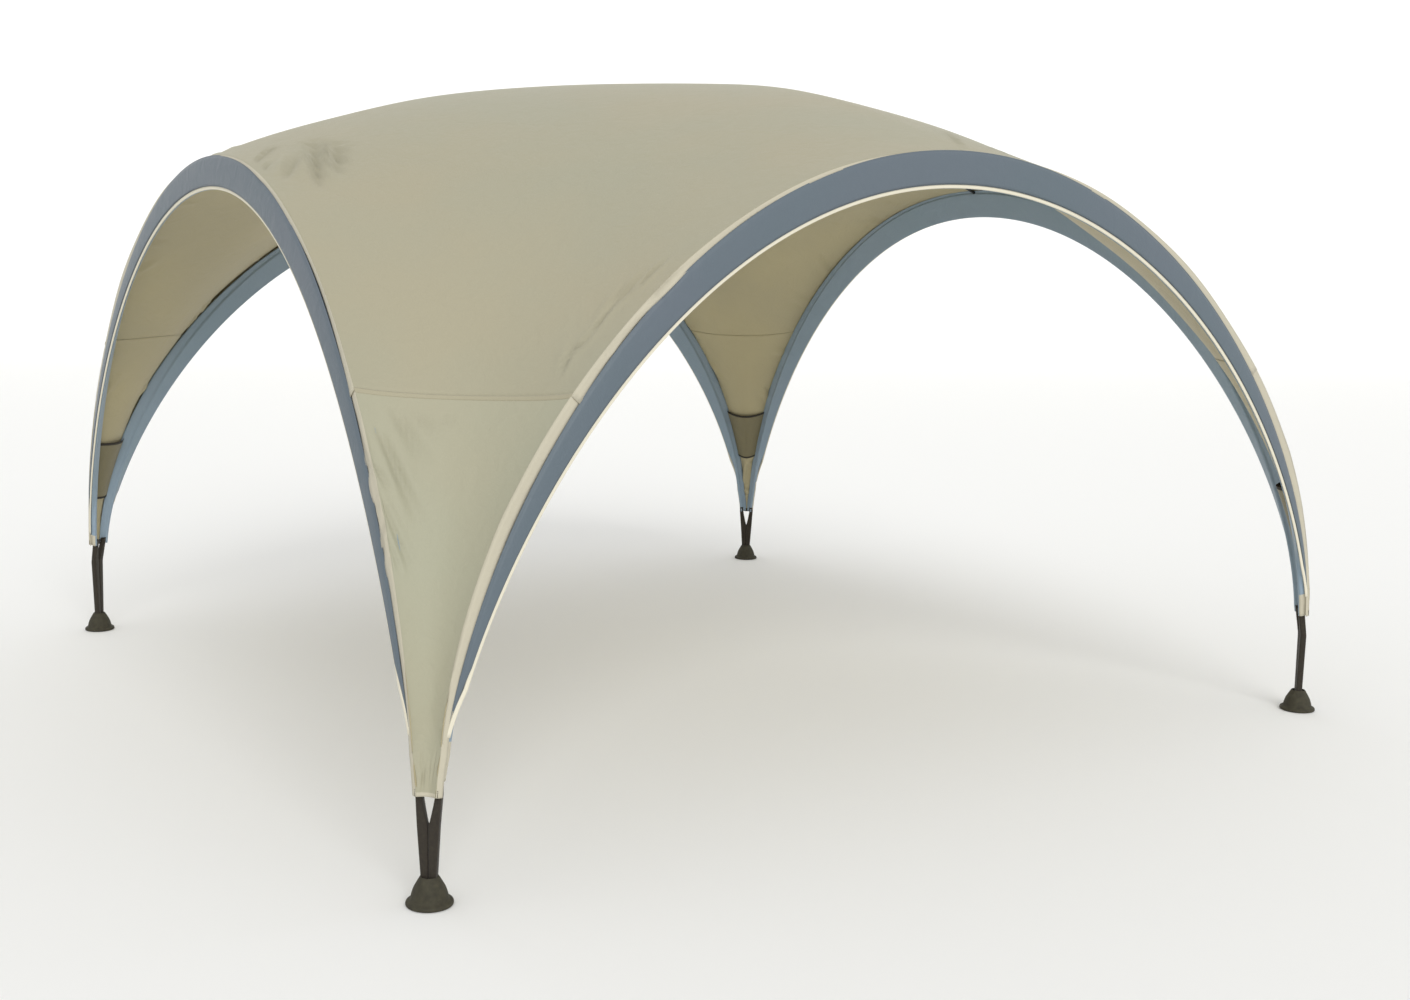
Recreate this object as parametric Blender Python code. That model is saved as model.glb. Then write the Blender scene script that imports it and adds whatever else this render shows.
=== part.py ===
"""Party tent: a square cloth shelter on four arches that meet in pairs at four feet.

Metres, +Z up. The origin is on the ground, in the middle of the four feet. The front
arch stands at -Y, the right arch at +X, the back arch at +Y and the left arch at -X.
The near leg is the corner between the left and front arches.
"""
import math

import bmesh
import bpy
import numpy as np
from mathutils import Vector

# Driving dimensions of the arches and the roof
HALF_SIDE = 1.80            # from the middle of the tent to the line of the feet
ARCH_TOP = 1.89             # underside of an arch's band at its crown
ROOF_TOP = 2.33             # outside of the roof over the middle
ARCH_BASE = 0.26            # height at which the arch's curve starts
BASE_INSET = 0.027          # the curve starts this far in from the line of the feet
ROUND_ACROSS = 2.02         # exponents of the arch's superellipse
ROUND_UP = 1.55
BOW_BASE = 0.026            # how far the arch's plane bows outward at its base,
BOW_RISE = 0.058            # how much more it bows on the way up,
BOW_FALL = 0.103            # and how much it comes back in toward the crown
BAND_WIDTH = 0.100          # coloured band at the crown
BAND_TAPER = 0.85           # exponent of its taper toward the legs
BAND_LEAN = 0.11            # radians that the band leans in at its top
BAND_START = 0.40           # height where the band has no width
BAND_LEAST = 0.015          # width at which the band stops
ROOF_CURVE = 2.12           # exponent of the roof's fall from the middle to a crown
ROOF_FLATTEN = 0.106        # how much flatter a roof quarter lies than a full patch

# Heights of what crosses a leg, from the ground
SEAM_HEIGHT = 1.24
LINING_TOP = 0.83
LINING_BOTTOM = 0.59
HEM_HEIGHTS = {"near": 0.29, "right": 0.37, "far": 0.27, "left": 0.39}

# Thicknesses, widths and clearances
CLOTH = 0.005
LINING = 0.003
LAYER_GAP = 0.0006
SEAM_GAP = 0.0008
RIM = CLOTH + LAYER_GAP     # the roof's edge lies this far behind the band's face
PIPING_RADIUS = 0.005
POLE_RADIUS = 0.0065
POLE_BEHIND = 0.0260        # pole's middle, in from the band's face
POLE_SIDE = 0.0096          # and down from the band's upper edge
# Each roof pole: its middle's depth under the roof, and its end's distance from the edge
ROOF_POLES = {"left_right": (0.0126, 0.0248), "front_back": (0.0251, 0.0287)}
SLEEVE_WIDTH = 0.0205
SLEEVE_TOP_WIDTH = 0.017
SLEEVE_DEPTH = 0.022
SLEEVE_TUCK = 0.025         # a leg sleeve reaches this far up behind the hem,
SLEEVE_DROP = 0.012         # comes out this far below it
SLEEVE_JOIN = 0.075         # and meets its neighbour this far below it
POLE_ENTRY = 0.020          # length of pole that stands upright in its sleeve's mouth
FOOT_INSET = 0.012
FOOT_PROFILE = ((0.058, 0.0), (0.0625, 0.004), (0.061, 0.010), (0.051, 0.017), (0.047, 0.030),
                (0.042, 0.044), (0.035, 0.058), (0.028, 0.070), (0.0245, 0.076))
SEAT_GAP = 0.0004
HEM_BAR = 0.020

ROW_LIFT = 0.38             # keeps the rows of a leg's cloth level across it
ROW_STEPS = 8               # rows of a roof quarter, middle to crown and crown to seam
PANEL_STEPS = 4             # rows of a leg panel between the cross seam and the lining
COLUMN_STEPS = 10
TUBE_SIDES = 6
SLEEVE_SIDES = 8
FOOT_SIDES = 20
ARCH_SAMPLES = 4001         # steps of the search for a height along an arch
SHARP_ANGLE = 40            # degrees between faces that stay sharp

SIDES = ("front", "right", "back", "left")
SIDE_ENDS = {"front": ("near", "right"), "right": ("right", "far"),
             "back": ("far", "left"), "left": ("left", "near")}
CORNERS = {"near": (-1, -1), "right": (1, -1), "far": (1, 1), "left": (-1, 1)}
SEAM_ROW = ROW_STEPS
LINING_ROWS = (SEAM_ROW + PANEL_STEPS, SEAM_ROW + PANEL_STEPS + 2)

SAND = (0.46, 0.41, 0.30)
BLUE_GREY = (0.15, 0.19, 0.23)
CREAM = (0.73, 0.68, 0.55)
OLIVE = (0.22, 0.20, 0.13)
DARK_BROWN = (0.06, 0.05, 0.03)
OLIVE_RUBBER = (0.07, 0.065, 0.035)
POLE_BLACK = (0.03, 0.03, 0.03)

for old in list(bpy.data.objects):
    bpy.data.objects.remove(old, do_unlink=True)


def finish(name, colour, roughness, metallic):
    """A Principled material of one colour."""
    made = bpy.data.materials.new(name + "_finish")
    made.use_nodes = True
    shader = made.node_tree.nodes["Principled BSDF"]
    shader.inputs["Base Color"].default_value = (*colour, 1.0)
    shader.inputs["Roughness"].default_value = roughness
    shader.inputs["Metallic"].default_value = metallic
    return made


def add_piece(name, points, faces, colour, roughness=0.8, metallic=0.0):
    """One named object from points and faces, shaded smooth and facing out."""
    mesh = bpy.data.meshes.new(name)
    mesh.from_pydata(np.asarray(points, float).tolist(), [], faces)
    mesh.materials.append(finish(name, colour, roughness, metallic))
    work = bmesh.new()
    work.from_mesh(mesh)
    bmesh.ops.recalc_face_normals(work, faces=work.faces)
    work.to_mesh(mesh)
    work.free()
    mesh.shade_smooth()
    mesh.set_sharp_from_angle(angle=math.radians(SHARP_ANGLE))
    made = bpy.data.objects.new(name, mesh)
    bpy.context.collection.objects.link(made)
    return made


def add_shell(name, points, faces, thickness, colour):
    """A closed sheet of cloth: the given outer surface, the same inset, and the rim.

    On the tent's two middle planes the inset keeps to the plane, so quarters don't cross.
    """
    work = bmesh.new()
    corners = [work.verts.new(point) for point in points]
    for face in faces:
        work.faces.new([corners[index] for index in face])
    bmesh.ops.recalc_face_normals(work, faces=work.faces)
    work.verts.index_update()
    work.normal_update()
    heart = Vector((0.0, 0.0, HALF_SIDE / 2))
    if sum(face.normal.dot(face.calc_center_median() - heart) for face in work.faces) < 0:
        bmesh.ops.reverse_faces(work, faces=work.faces)
        work.normal_update()
    outer = [vertex.co.copy() for vertex in work.verts]
    inner = []
    for vertex in work.verts:
        inset = vertex.normal.copy()
        for axis in (0, 1):
            if abs(vertex.co[axis]) < SEAM_GAP:
                inset[axis] = 0.0
        inner.append(vertex.co - inset.normalized() * thickness)
    count = len(outer)
    sheet = [[vertex.index for vertex in face.verts] for face in work.faces]
    solid = sheet + [[index + count for index in reversed(face)] for face in sheet]
    for edge in work.edges:
        if edge.is_boundary:
            loop = edge.link_loops[0]
            first, second = loop.vert.index, loop.link_loop_next.vert.index
            solid.append([second, first, first + count, second + count])
    work.free()
    return add_piece(name, outer + inner, solid, colour)


def grid_faces(rows, columns):
    """Triangles of a grid of points that is listed row by row, all cut the same way."""
    faces = []
    for start in (r * columns + c for r in range(rows - 1) for c in range(columns - 1)):
        faces.append([start, start + 1, start + columns + 1])
        faces.append([start, start + columns + 1, start + columns])
    return faces


def add_loft(name, rings, colour, roughness=0.6, metallic=0.0):
    """A closed solid through a stack of rings of equally many points."""
    rings = np.asarray(rings, float)
    steps, around = rings.shape[:2]
    faces = [[r * around + c, r * around + (c + 1) % around,
              (r + 1) * around + (c + 1) % around, (r + 1) * around + c]
             for r in range(steps - 1) for c in range(around)]
    faces.append(list(range(around)))
    faces.append([(steps - 1) * around + c for c in range(around)])
    return add_piece(name, rings.reshape(-1, 3), faces, colour, roughness, metallic)


def add_tube(name, path, across, radius, colour, roughness=0.6, metallic=0.0):
    """A round bar along a path; across is a direction that the path never takes."""
    path = np.asarray(path, float)
    tangent = np.gradient(path, axis=0)
    tangent /= np.linalg.norm(tangent, axis=1, keepdims=True)
    second = np.cross(tangent, np.asarray(across, float))
    second /= np.linalg.norm(second, axis=1, keepdims=True)
    first = np.cross(second, tangent)
    angle = 2 * math.pi * (np.arange(TUBE_SIDES) + 0.5) / TUBE_SIDES
    ring = np.cos(angle)[None, :, None] * first[:, None] + np.sin(angle)[None, :, None] * second[:, None]
    return add_loft(name, path[:, None] + radius * ring, colour, roughness, metallic)


def arch_lower(share):
    """Edge of the opening from crown (0) to base (1): across, up and outward."""
    angle = (1 - np.asarray(share, float)) * math.pi / 2
    across = (HALF_SIDE - BASE_INSET) * np.maximum(np.cos(angle), 0) ** (2 / ROUND_ACROSS)
    rise = np.maximum(np.sin(angle), 0) ** (2 / ROUND_UP)
    up = ARCH_BASE + (ARCH_TOP - ARCH_BASE) * rise
    return across, up, BOW_BASE + BOW_RISE * rise - BOW_FALL * rise ** 2


def away_from_opening(share):
    """Unit direction, across and up, square to the arch's edge and out of the opening."""
    step = 1e-4
    low, high = np.clip(share - step, 0, 1), np.clip(share + step, 0, 1)
    run = arch_lower(high)[0] - arch_lower(low)[0]
    fall = arch_lower(low)[1] - arch_lower(high)[1]
    length = np.hypot(run, fall)
    return fall / length, run / length


def band_width(share):
    """Width of the band, full at the crown and none at its start on a leg."""
    grown = (arch_lower(share)[1] - BAND_START) / (ARCH_TOP - BAND_START)
    return BAND_WIDTH * np.clip(grown, 0, 1) ** BAND_TAPER


def arch_upper(share):
    """Edge where the band meets the roof: across, up and outward."""
    across, up, outward = arch_lower(share)
    width = band_width(share)
    side, rise = away_from_opening(share)
    flat = width * math.cos(BAND_LEAN)
    return across + flat * side, up + flat * rise, outward - width * math.sin(BAND_LEAN)


def shifted(edge, share, away, inward):
    """An edge moved away from the opening in its plane, and in toward the tent."""
    across, up, outward = edge(share)
    side, rise = away_from_opening(share)
    return across + away * side, up + away * rise, outward - inward


def half_arch(side, end, across, up, outward):
    """Points of one half of an arch, from the crown toward the corner named end."""
    direction = -1 if SIDE_ENDS[side][0] == end else 1
    points = np.stack([direction * across, -(HALF_SIDE + outward), up], -1)
    for _ in range(SIDES.index(side)):
        points = np.stack([-points[..., 1], points[..., 0], points[..., 2]], -1)
    return points


def whole_arch(side, shares_of_end, edge, away, inward):
    """Points of an edge from one corner over the crown to the other."""
    halves = []
    for end in SIDE_ENDS[side]:
        shares = shares_of_end(end)
        halves.append(half_arch(side, end, *shifted(edge, shares, away, inward)))
    return np.concatenate([halves[0][::-1], halves[1][1:]])


def share_at(height):
    """Share along an arch where its lower edge has come down to a height."""
    shares = np.linspace(0, 1, ARCH_SAMPLES)
    return float(np.interp(-height, -arch_lower(shares)[1], shares))


def row_shares(corner):
    """Shares of the rows from a crown down over the seam and the lining to the hem."""
    hem = HEM_HEIGHTS[corner]
    heights = [*np.linspace(SEAM_HEIGHT, LINING_TOP, PANEL_STEPS + 1)[1:],
               (LINING_TOP + LINING_BOTTOM) / 2, LINING_BOTTOM,
               (LINING_BOTTOM + hem) / 2, (LINING_BOTTOM + 3 * hem) / 4, hem]
    roof_rows = np.linspace(0, share_at(SEAM_HEIGHT), ROW_STEPS + 1)
    return np.concatenate([roof_rows, [share_at(height) for height in heights]])


def corner_sides(corner):
    """The two arches that meet at a corner."""
    return [side for side in SIDES if corner in SIDE_ENDS[side]]


def roof_edge(side, corner, share):
    """Edge of the roof cloth along one half arch, just behind the band."""
    return half_arch(side, corner, *shifted(arch_upper, share, 0.0, RIM))


def roof_fall(crown, share):
    """Line of the roof from the middle (0) out to the crown of an arch (1)."""
    height = crown[2] + (ROOF_TOP - crown[2]) * (1 - share ** ROOF_CURVE)
    return np.stack([crown[0] * share, crown[1] * share, height], -1)


def quarter(corner, first, second):
    """Points of a roof quarter, at shares from the middle (0) to its two arches (1).

    It is the sum of the two ruled surfaces between opposite borders less the bilinear
    one between its four ends, pulled in a little at its centre but not on the leg.
    """
    sides = corner_sides(corner)
    hem = share_at(HEM_HEIGHTS[corner])
    crowns = [roof_edge(side, corner, np.array(0.0)) for side in sides]
    foot = sum(roof_edge(side, corner, np.array(hem)) for side in sides) / 2
    middle = np.array([0.0, 0.0, ROOF_TOP])
    u, v = first[..., None], second[..., None]
    patch = ((1 - u) * roof_fall(crowns[1], second) + u * roof_edge(sides[0], corner, second * hem)
             + (1 - v) * roof_fall(crowns[0], first) + v * roof_edge(sides[1], corner, first * hem)
             - (1 - u) * (1 - v) * middle - (1 - u) * v * crowns[1]
             - u * (1 - v) * crowns[0] - u * v * foot)
    out = patch - np.array([0.0, 0.0, HALF_SIDE / 2])
    out /= np.linalg.norm(out, axis=-1, keepdims=True)
    down_leg = np.maximum(u + v - 1, 0)
    pull = 16 * u * (1 - u) * v * (1 - v) * (1 - down_leg ** 2) ** 2
    return patch - ROOF_FLATTEN * pull * out


def middle_rows(corner):
    """Rows of a quarter from the middle out to the line between its two crowns."""
    along = np.linspace(0, 1, COLUMN_STEPS + 1)
    reach = np.linspace(0, 1, ROW_STEPS + 1)[:, None]
    return quarter(corner, reach * (1 - along), reach * along)


def leg_rows(corner):
    """Rows of a quarter from the line between its crowns down to the hem."""
    sides = corner_sides(corner)
    shares = row_shares(corner)
    down = (shares / shares[-1])[:, None]
    along = np.linspace(0, 1, COLUMN_STEPS + 1)[None]
    lift = ROW_LIFT * down * (1 - down) ** 2 * 4 * along * (1 - along)
    rows = quarter(corner, 1 - (1 - down) * along - lift, down + (1 - down) * along - lift)
    starts = roof_edge(sides[0], corner, shares)[:, None]
    ends = roof_edge(sides[1], corner, shares)[:, None]
    blend = along[..., None]
    return rows + (1 - blend) * (starts - rows[:, :1]) + blend * (ends - rows[:, -1:])


def layer_inside(rows, depth):
    """The same rows of points, moved in from the cloth's outside by a depth."""
    normal = np.cross(np.gradient(rows, axis=0), np.gradient(rows, axis=1))
    normal /= np.linalg.norm(normal, axis=-1, keepdims=True)
    out = rows - np.array([0.0, 0.0, HALF_SIDE / 2])
    facing = np.sign(np.sum(normal * out, axis=-1, keepdims=True))
    return rows - depth * facing * normal


def build_roof_quarter(corner):
    """A quarter of the roof: from the middle out to two crowns, and down to the cross seam."""
    points = []
    faces = []
    known = {}
    sign = np.array(CORNERS[corner], float)

    def index(point):
        key = tuple(np.round(point, 5))
        if key not in known:
            known[key] = len(points)
            clear = sign * np.maximum(sign * point[:2], SEAM_GAP / 2)
            points.append([*clear.tolist(), float(point[2])])
        return known[key]

    for rows in (middle_rows(corner), leg_rows(corner)[:SEAM_ROW + 1]):
        for upper, lower in zip(rows[:-1], rows[1:]):
            for column in range(COLUMN_STEPS):
                quad = [index(point) for point in (upper[column], upper[column + 1],
                                                   lower[column + 1], lower[column])]
                faces.append(list(dict.fromkeys(quad)))
    add_shell("roof_quarter_" + corner, points, faces, CLOTH, SAND)


def build_leg_cloth(corner):
    """A leg's panel below the cross seam, its inner lining, and the bar inside its hem."""
    rows = leg_rows(corner)
    panel = rows[SEAM_ROW:].copy()
    drop = panel[1] - panel[0]
    panel[0] += SEAM_GAP * drop / np.linalg.norm(drop, axis=-1, keepdims=True)
    add_shell("leg_panel_" + corner, panel.reshape(-1, 3).tolist(),
              grid_faces(*panel.shape[:2]), CLOTH, SAND)
    first, last = LINING_ROWS
    lining = layer_inside(rows, CLOTH + LAYER_GAP)[first:last + 1, 1:-1]
    add_shell("leg_lining_" + corner, lining.reshape(-1, 3).tolist(),
              grid_faces(*lining.shape[:2]), LINING, OLIVE)
    inside = layer_inside(rows, CLOTH + LAYER_GAP)[-2:]
    rise = HEM_BAR / (inside[0, 0, 2] - inside[1, 0, 2])
    bar = np.stack([inside[1] + rise * (inside[0] - inside[1]), inside[1]])
    add_shell("hem_bar_" + corner, bar.reshape(-1, 3).tolist(),
              grid_faces(*bar.shape[:2]), LINING, DARK_BROWN)


def build_band(side):
    """The coloured band on the face of an arch, and the piping along its lower edge."""
    def shares(end):
        rows = row_shares(end)
        return rows[band_width(rows) > BAND_LEAST]

    upper = whole_arch(side, shares, arch_upper, 0.0, 0.0)
    lower = whole_arch(side, shares, arch_lower, 0.0, 0.0)
    band = np.stack([upper, lower])
    add_shell("arch_band_" + side, band.reshape(-1, 3).tolist(),
              grid_faces(*band.shape[:2]), CLOTH, BLUE_GREY)
    piping = whole_arch(side, shares, arch_lower, -PIPING_RADIUS - LAYER_GAP, CLOTH / 2)
    add_tube("band_piping_" + side, piping, side_direction(side), PIPING_RADIUS, CREAM, 0.7)


def side_direction(side):
    """Outward direction of an arch."""
    turn = SIDES.index(side) * math.pi / 2
    return np.array([math.sin(turn), -math.cos(turn), 0.0])


def pole_points(side, end, shares):
    """Middle of an arch pole along one half of its arch."""
    return half_arch(side, end, *shifted(arch_upper, shares, -POLE_SIDE, POLE_BEHIND))


def foot_middle(corner):
    """Middle of a foot on the ground."""
    sign = np.array(CORNERS[corner], float)
    return np.append(sign * (HALF_SIDE - FOOT_INSET), 0.0)


def sleeve_path(side, corner):
    """Middles of a leg sleeve, from behind the hem bar down to the top of the foot."""
    hem = HEM_HEIGHTS[corner]
    tucked, level = pole_points(side, corner, np.array([share_at(hem + SLEEVE_TUCK), share_at(hem)]))
    middle = foot_middle(corner)
    outward = middle / np.linalg.norm(middle)
    face = roof_edge(side, corner, np.array(share_at(hem))) @ outward
    seat = face - CLOTH - LINING - 2 * LAYER_GAP - SLEEVE_DEPTH / 2
    shift = (seat - level @ outward) * outward
    along = np.cross(outward, [0.0, 0.0, 1.0])
    along *= np.sign(np.dot(level - middle, along))
    beside = middle + along * (SLEEVE_WIDTH / 2 + LAYER_GAP / 2)
    path = [tucked + shift, level + shift - [0.0, 0.0, SLEEVE_DROP],
            beside + [0.0, 0.0, hem - SLEEVE_JOIN],
            beside + [0.0, 0.0, FOOT_PROFILE[-1][1] + SEAT_GAP]]
    return path, along, outward


def build_sleeve(side, corner):
    """Webbing sleeve on the lower end of one pole, from behind the hem to the foot."""
    path, along, outward = sleeve_path(side, corner)
    widths = [SLEEVE_TOP_WIDTH, SLEEVE_TOP_WIDTH, SLEEVE_WIDTH, SLEEVE_WIDTH]
    angle = 2 * math.pi * (np.arange(SLEEVE_SIDES) + 0.5) / SLEEVE_SIDES
    stretch = 0.5 / math.cos(math.pi / SLEEVE_SIDES)
    rings = [centre + stretch * (np.cos(angle)[:, None] * width * along
                                 + np.sin(angle)[:, None] * SLEEVE_DEPTH * outward)
             for centre, width in zip(path, widths)]
    add_loft(f"leg_sleeve_{corner}_{side}", rings, DARK_BROWN, 0.85)


def build_arch_pole(side):
    """A pole behind the band, down to the mouths of the two leg sleeves that hold it."""
    halves = []
    for end in SIDE_ENDS[side]:
        mouth = sleeve_path(side, end)[0][0] + [0.0, 0.0, SEAT_GAP]
        rows = pole_points(side, end, row_shares(end)[:-2])
        halves.append(np.concatenate([rows, [mouth + [0.0, 0.0, POLE_ENTRY], mouth]]))
    path = np.concatenate([halves[0][::-1], halves[1][1:]])
    add_tube("arch_pole_" + side, path, side_direction(side), POLE_RADIUS, POLE_BLACK, 0.4)


def build_roof_pole(name, sides):
    """A pole under the roof from one arch's crown over the middle to the opposite one."""
    depth, stop = ROOF_POLES[name]
    halves = []
    for side in sides:
        crown = roof_edge(side, SIDE_ENDS[side][0], np.array(0.0))
        last = 1 - stop / np.linalg.norm(crown[:2])
        shares = np.append(np.linspace(0, 1, ROW_STEPS + 1)[:-1], last)
        halves.append(roof_fall(crown, shares) - [0.0, 0.0, depth])
    path = np.concatenate([halves[0][::-1], halves[1][1:]])
    add_tube("roof_pole_" + name, path, [0.0, 0.0, 1.0], POLE_RADIUS, POLE_BLACK, 0.4)


def build_foot(corner):
    """Rubber cup that the two sleeves of a leg stand in, flat underneath."""
    angle = 2 * math.pi * np.arange(FOOT_SIDES) / FOOT_SIDES
    circle = np.stack([np.cos(angle), np.sin(angle), np.zeros(FOOT_SIDES)], -1)
    rings = [foot_middle(corner) + radius * circle + [0.0, 0.0, height]
             for radius, height in FOOT_PROFILE]
    add_loft("foot_cup_" + corner, rings, OLIVE_RUBBER, 0.75)


for corner_name in CORNERS:
    build_roof_quarter(corner_name)
    build_leg_cloth(corner_name)
    build_foot(corner_name)
    for side_name in corner_sides(corner_name):
        build_sleeve(side_name, corner_name)
for side_name in SIDES:
    build_band(side_name)
    build_arch_pole(side_name)
build_roof_pole("left_right", ("left", "right"))
build_roof_pole("front_back", ("front", "back"))
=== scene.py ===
"""A party tent, dressed: coated polyester over curved poles, webbing legs and rubber feet.

Metres, +Z up. The origin is on the ground in the middle of the four feet. The front arch
stands at -Y, the right one at +X, the back one at +Y and the left one at -X. The near leg
is the corner between the left and front arches.
"""

import math

import bmesh
import bpy
import numpy as np
from mathutils import Matrix, Vector


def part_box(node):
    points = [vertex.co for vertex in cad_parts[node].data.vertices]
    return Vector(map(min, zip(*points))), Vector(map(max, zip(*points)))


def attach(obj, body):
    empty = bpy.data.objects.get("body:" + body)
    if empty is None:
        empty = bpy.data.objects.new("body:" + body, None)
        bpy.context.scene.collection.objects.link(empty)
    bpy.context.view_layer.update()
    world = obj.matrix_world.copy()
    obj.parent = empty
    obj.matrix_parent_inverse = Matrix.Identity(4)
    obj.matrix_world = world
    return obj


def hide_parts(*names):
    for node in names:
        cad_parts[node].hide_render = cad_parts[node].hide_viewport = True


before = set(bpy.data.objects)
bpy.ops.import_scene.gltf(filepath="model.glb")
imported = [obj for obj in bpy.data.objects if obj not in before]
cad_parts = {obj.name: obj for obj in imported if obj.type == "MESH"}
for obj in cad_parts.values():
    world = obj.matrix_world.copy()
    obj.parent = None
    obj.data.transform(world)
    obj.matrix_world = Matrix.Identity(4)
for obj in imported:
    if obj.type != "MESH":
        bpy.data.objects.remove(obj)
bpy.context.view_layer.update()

# The camera stands outside the near leg at eye height, with a lens of about 40 mm. It looks
# at the near panel and in under the front arch to the far leg.
EYE = Vector((-3.366, -5.324, 1.627))
VIEW_AZIMUTH = math.radians(-32.26)
VIEW_ELEVATION = math.radians(8.11)
VIEW_ROLL = math.radians(0.57)
LENS = 39.78
FRAME_SHIFT = (0.0405, -0.0060)


def camera_axes(azimuth, elevation, roll):
    """Right, up and back: back at the azimuth and elevation, right level, then both rolled."""
    back = Vector((math.sin(azimuth) * math.cos(elevation),
                   -math.cos(azimuth) * math.cos(elevation), math.sin(elevation)))
    level = Vector((math.cos(azimuth), math.sin(azimuth), 0.0))
    upright = back.cross(level)
    right = math.cos(roll) * level + math.sin(roll) * upright
    return right, back.cross(right), back


camera = bpy.data.objects.new("camera", bpy.data.cameras.new("camera"))
camera.data.lens = LENS
camera.data.shift_x, camera.data.shift_y = FRAME_SHIFT
turn = Matrix(camera_axes(VIEW_AZIMUTH, VIEW_ELEVATION, VIEW_ROLL)).transposed().to_4x4()
camera.matrix_world = Matrix.Translation(EYE) @ turn
bpy.context.scene.collection.objects.link(camera)
bpy.context.scene.camera = camera

# A studio with a plain pale floor that sweeps up into a far wall behind the tent, as paper
# does from a roll. The surround is even, and one broad low lamp in front gives the form.
FLOOR_REACH = 26.0
FLOOR_DROP = 0.0005
SWEEP_RADIUS = 8.0
SWEEP_STEPS = 25
WALL_TOP = 22.0
WALL_BEARING = math.radians(-32)
FLOOR_HEX = "f4f4f2"
SURROUND_HEX = "ffffff"
SURROUND_STRENGTH = 0.79
LAMP_ANGLES = (math.radians(60), 0.0, math.radians(-16))
LAMP_STRENGTH = 1.35
LAMP_SPREAD = math.radians(36)


def linear(hex_colour):
    """A hex sRGB colour in linear light: c/12.92 up to 0.04045, above it ((c+0.055)/1.055)^2.4."""
    channels = np.array([int(hex_colour[at:at + 2], 16) / 255 for at in (0, 2, 4)])
    curve = np.where(channels <= 0.04045, channels / 12.92, ((channels + 0.055) / 1.055) ** 2.4)
    return (*curve.tolist(), 1.0)


def new_material(name, **sockets):
    """A Principled material. A socket is named with underscores where its name has spaces."""
    made = bpy.data.materials.new(name)
    made.use_nodes = True
    shader = made.node_tree.nodes["Principled BSDF"]
    for socket, value in sockets.items():
        shader.inputs[socket.replace("_", " ")].default_value = value
    return made, shader


sweep = np.linspace(0, math.pi / 2, SWEEP_STEPS)
sweep_away = FLOOR_REACH - np.concatenate([[2 * FLOOR_REACH], SWEEP_RADIUS * (1 - np.sin(sweep)), [0.0]])
sweep_up = np.concatenate([[0.0], SWEEP_RADIUS * (1 - np.cos(sweep)), [WALL_TOP]]) - FLOOR_DROP
sweep_points = len(sweep_up)
sweep_rows = np.stack([np.stack([side * FLOOR_REACH * np.ones(sweep_points), sweep_away, sweep_up], -1)
                       for side in (-1, 1)])
bearing = np.array(Matrix.Rotation(WALL_BEARING, 3, "Z"))
first = np.arange(sweep_points - 1)
floor_faces = np.stack([first, first + sweep_points, first + sweep_points + 1, first + 1], 1)
floor_mesh = bpy.data.meshes.new("floor")
floor_mesh.from_pydata((sweep_rows.reshape(-1, 3) @ bearing.T).tolist(), [], floor_faces.tolist())
floor_mesh.shade_smooth()
floor = bpy.data.objects.new("floor", floor_mesh)
floor_mesh.materials.append(new_material("pale_floor", Base_Color=linear(FLOOR_HEX), Roughness=0.9)[0])
bpy.context.scene.collection.objects.link(floor)

world = bpy.data.worlds.new("surround")
world.use_nodes = True
surround = world.node_tree.nodes["Background"]
surround.inputs["Color"].default_value = linear(SURROUND_HEX)
surround.inputs["Strength"].default_value = SURROUND_STRENGTH
bpy.context.scene.world = world
bpy.context.scene.view_settings.view_transform = "Standard"
lamp = bpy.data.objects.new("broad_lamp", bpy.data.lights.new("broad_lamp", "SUN"))
lamp.data.energy = LAMP_STRENGTH
lamp.data.angle = LAMP_SPREAD
lamp.rotation_euler = LAMP_ANGLES
bpy.context.scene.collection.objects.link(lamp)

# Each leg stands in a cup moulded in dark olive rubber: a bell that flares to a flat rim on
# the ground, with a shallow mouth on top that grips the ends of the two webbing sleeves.
CORNERS = {"near": (-1, -1), "right": (1, -1), "far": (1, 1), "left": (-1, 1)}
CUP_OUTSIDE = ((0.0575, 0.0), (0.0615, 0.0015), (0.0625, 0.0045), (0.0610, 0.0100), (0.0550, 0.0140),
               (0.0505, 0.0180), (0.0472, 0.0300), (0.0425, 0.0440), (0.0350, 0.0580), (0.0280, 0.0700))
CUP_MOUTH = ((0.0248, 0.0752), (0.0232, 0.0762), (0.0218, 0.0752), (0.0212, 0.0700), (0.0205, 0.0620))
CUP_SIDES = 72
MERGE = 0.00002             # points closer than this are one


def smooth_curve(points, steps):
    """Catmull-Rom curve: each stretch is the cubic whose slope at a point is half the chord
    between that point's neighbours."""
    points = np.asarray(points, float)
    ends = np.concatenate([[2 * points[0] - points[1]], points, [2 * points[-1] - points[-2]]])
    before, start, end, after = (ends[at:len(ends) - 3 + at, None] for at in range(4))
    t = np.linspace(0, 1, steps, endpoint=False)[None, :, None]
    curve = 0.5 * (2 * start + (end - before) * t + (2 * before - 5 * start + 4 * end - after) * t ** 2
                   + (3 * start - before - 3 * end + after) * t ** 3)
    return np.concatenate([curve.reshape(-1, points.shape[1]), points[-1:]])


def turned(profile, middle, sides):
    """A profile of radius and height turned about the upright axis through a point."""
    angle = np.linspace(0, 2 * math.pi, sides + 1)
    radius, height = np.asarray(profile, float).T
    across = radius[:, None] * np.cos(angle), radius[:, None] * np.sin(angle)
    return np.stack([*across, np.repeat(height[:, None], sides + 1, 1)], -1) + middle


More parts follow.
